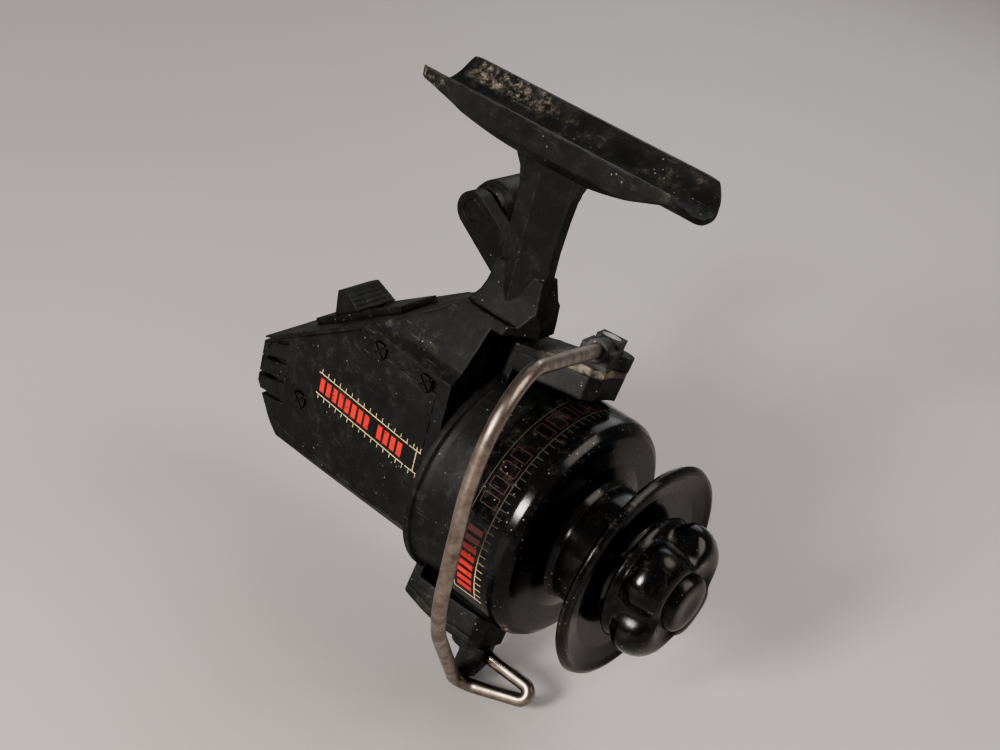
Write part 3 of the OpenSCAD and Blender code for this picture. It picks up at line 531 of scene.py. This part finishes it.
def cover_marks():
    """Two ruler lines with outward ticks on the side cover, closed at the front, round plain bars."""
    cover = NODES["side_cover"].data
    tree = BVHTree.FromPolygons([v.co for v in cover.vertices], [p.vertices for p in cover.polygons])

    def surface(u, v):
        start = Vector((SHAFT.x + u * MM, SHAFT.y - 0.1, SHAFT.z + v * MM))
        at, out, _, _ = tree.ray_cast(start, Vector((0, 1, 0)))
        return at, out

    # Along the body and up it, in mm from the shaft's line
    left, right = -37.5, -4.3
    top_left, top_right = 7.8, 6.4
    slope = (top_right - top_left) / (right - left)
    height = 5.2
    line, tick, tick_length = 0.13, 0.11, 1.15
    ticks, tick_pitch = 17, 2.0
    places, place_left_empty, bar_pitch, bar_half = 13, 8, 2.13, 0.78

    def top(u):
        return top_left + slope * (u - left)

    cream = []
    for drop in (0, height):
        cream.append((left, top(left) - drop, right, top(right) - drop, line, 12))
    closing = right - 1.3
    cream.append((closing, top(closing) + 0.9, closing, top(closing) - height, line, 3))
    for i in range(ticks):
        u = left + 0.9 + i * tick_pitch
        cream.append((u, top(u), u, top(u) + tick_length, tick, 1))
        cream.append((u, top(u) - height, u, top(u) - height - tick_length, tick, 1))
    red = []
    u = left + 1.6
    for i in range(places):
        if i != place_left_empty:
            red.append((u, top(u) - 0.95, u, top(u) - height + 0.85, bar_half, 2))
        u += bar_pitch
    look_cream = printed("cream_ink_body", CREAM, *UNRUBBED)
    look_red = printed("red_ink_body", RED, *UNRUBBED)
    film("ruler_marks_body", surface, cream, look_cream, "housing")
    film("label_bars_body", surface, red, look_red, "housing")


def skirt_marks():
    """Ruler lines round the spool's skirt, with ticks towards the front and plain bars between them."""
    low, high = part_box("spool")
    radius = (high[1] - low[1]) / 2
    rear = low[0]

    def surface(u, v):
        a = math.radians(u)
        out = Vector((0, -math.cos(a), math.sin(a)))
        return Vector((rear + v * MM, SHAFT.y, SHAFT.z)) + out * radius, out

    # Degrees round the skirt, up from the side of the body, and mm along it
    first, last, pitch = -26, 112, 4
    lines = (3.3, 8.9)
    line, tick, tick_length = 0.13, 0.24, 1.7
    low_edge, high_edge = lines[0] + 0.9, lines[1] - 0.8
    bars, bar_pitch, bar_half = 8, 4.6, 1.5
    frames, frame_left_out, frame_width = range(24, 104, 8), 56, 5.2
    frame_side, frame_edge = 0.3, 0.13

    cream = [(first, v, last, v, line, 70) for v in lines]
    cream.append((first, lines[0] - 0.2, first, lines[1] + 1.8, 0.3, 1))
    for a in range(first + pitch, last, pitch):
        cream.append((a, lines[1], a, lines[1] + tick_length, tick, 1))
    red = []
    for i in range(bars):
        a = first + 5 + bar_pitch * i
        red.append((a, low_edge, a, high_edge, bar_half, 1))
    for a in frames:
        if a != frame_left_out:
            ends = (a, a + frame_width)
            red += [(end, low_edge, end, high_edge, frame_side, 1) for end in ends]
            red += [(ends[0], edge, ends[1], edge, frame_edge, 3) for edge in (low_edge, high_edge)]
    look_cream = printed("cream_ink_skirt", CREAM, SHAFT.z - 7 * MM, SHAFT.z + 4 * MM)
    look_red = printed("red_ink_skirt", RED, SHAFT.z - 6 * MM, SHAFT.z + 3 * MM)
    film("ruler_marks_skirt", surface, cream, look_cream, "spool_group")
    film("label_bars_skirt", surface, red, look_red, "spool_group")


# ---- Floor, light and camera ----
# The camera's own axes and its place
RIGHT = Vector((0.735, 0.640, 0.223))
UP = Vector((-0.473, 0.249, 0.845))
BACK = Vector((0.486, -0.727, 0.486))
EYE = Vector((0.16095, -0.2438, 0.10002))
FOCAL_LENGTH, SENSOR_WIDTH = 57.22, 36


def floor():
    """A plain pale table top just under the lowest point."""
    level = cad_bounds[0].z - 0.5 * MM
    half = 4  # metres, so that the table fills the camera's view
    mesh = bpy.data.meshes.new("table_top")
    corners = ((-half, -half), (half, -half), (half, half), (-half, half))
    mesh.from_pydata([(x, y, level) for x, y in corners], [], [(0, 1, 2, 3)])
    top = bpy.data.objects.new("table_top", mesh)
    bpy.context.collection.objects.link(top)
    material = bpy.data.materials.new("pale_laminate")
    material.use_nodes = True
    tree = material.node_tree
    tree.nodes.clear()
    place = add(tree, "TexCoord").outputs["Object"]
    base = mix(tree, noise(tree, place, 6, 3), colour(0.405, 0.38, 0.375), colour(0.45, 0.425, 0.415))
    close_look(tree, Base_Color=base, Roughness=0.55, Emission_Color=base, Emission_Strength=0.14)
    mesh.materials.append(material)


def area_light(name, place, aim, size, power, tint):
    data = bpy.data.lights.new(name, "AREA")
    data.shape = "DISK"
    data.size = size
    data.energy = power
    data.color = tint
    light = bpy.data.objects.new(name, data)
    bpy.context.collection.objects.link(light)
    turn = (place - aim).to_track_quat("Z", "Y").to_matrix().to_4x4()
    light.matrix_world = Matrix.Translation(place) @ turn


def lights():
    """A warm key on the camera's left, a soft fill on its right, a cool light behind and a dim room."""
    aim = SHAFT
    key = aim - RIGHT * 0.34 + UP * 0.10 + BACK * 0.62
    fill = aim + RIGHT * 0.55 + UP * 0.35 + BACK * 0.35
    back = aim + Vector((-0.25, 0.6, 0.45))
    area_light("key", key, aim, 0.16, 5.6, (1.0, 0.95, 0.91))
    area_light("fill", fill, aim, 0.5, 2.1, (1.0, 0.91, 0.83))
    area_light("back", back, aim, 0.6, 1.2, (0.95, 0.97, 1.0))
    world = bpy.data.worlds.new("room")
    world.use_nodes = True
    background = world.node_tree.nodes["Background"].inputs
    background["Color"].default_value = colour(0.79, 0.77, 0.76)
    background["Strength"].default_value = 0.25
    bpy.context.scene.world = world


def camera():
    data = bpy.data.cameras.new("camera")
    data.lens = FOCAL_LENGTH
    data.sensor_width = SENSOR_WIDTH
    data.clip_start = 0.01
    eye = bpy.data.objects.new("camera", data)
    bpy.context.collection.objects.link(eye)
    turn = Matrix((RIGHT, UP, BACK)).transposed().to_4x4()
    eye.matrix_world = Matrix.Translation(EYE) @ turn
    bpy.context.scene.camera = eye


bpy.context.scene.view_settings.look = "AgX - High Contrast"
finish_nodes()
drag_coil()
bail_coil()
drag_cap()
cover_marks()
skirt_marks()
floor()
lights()
camera()
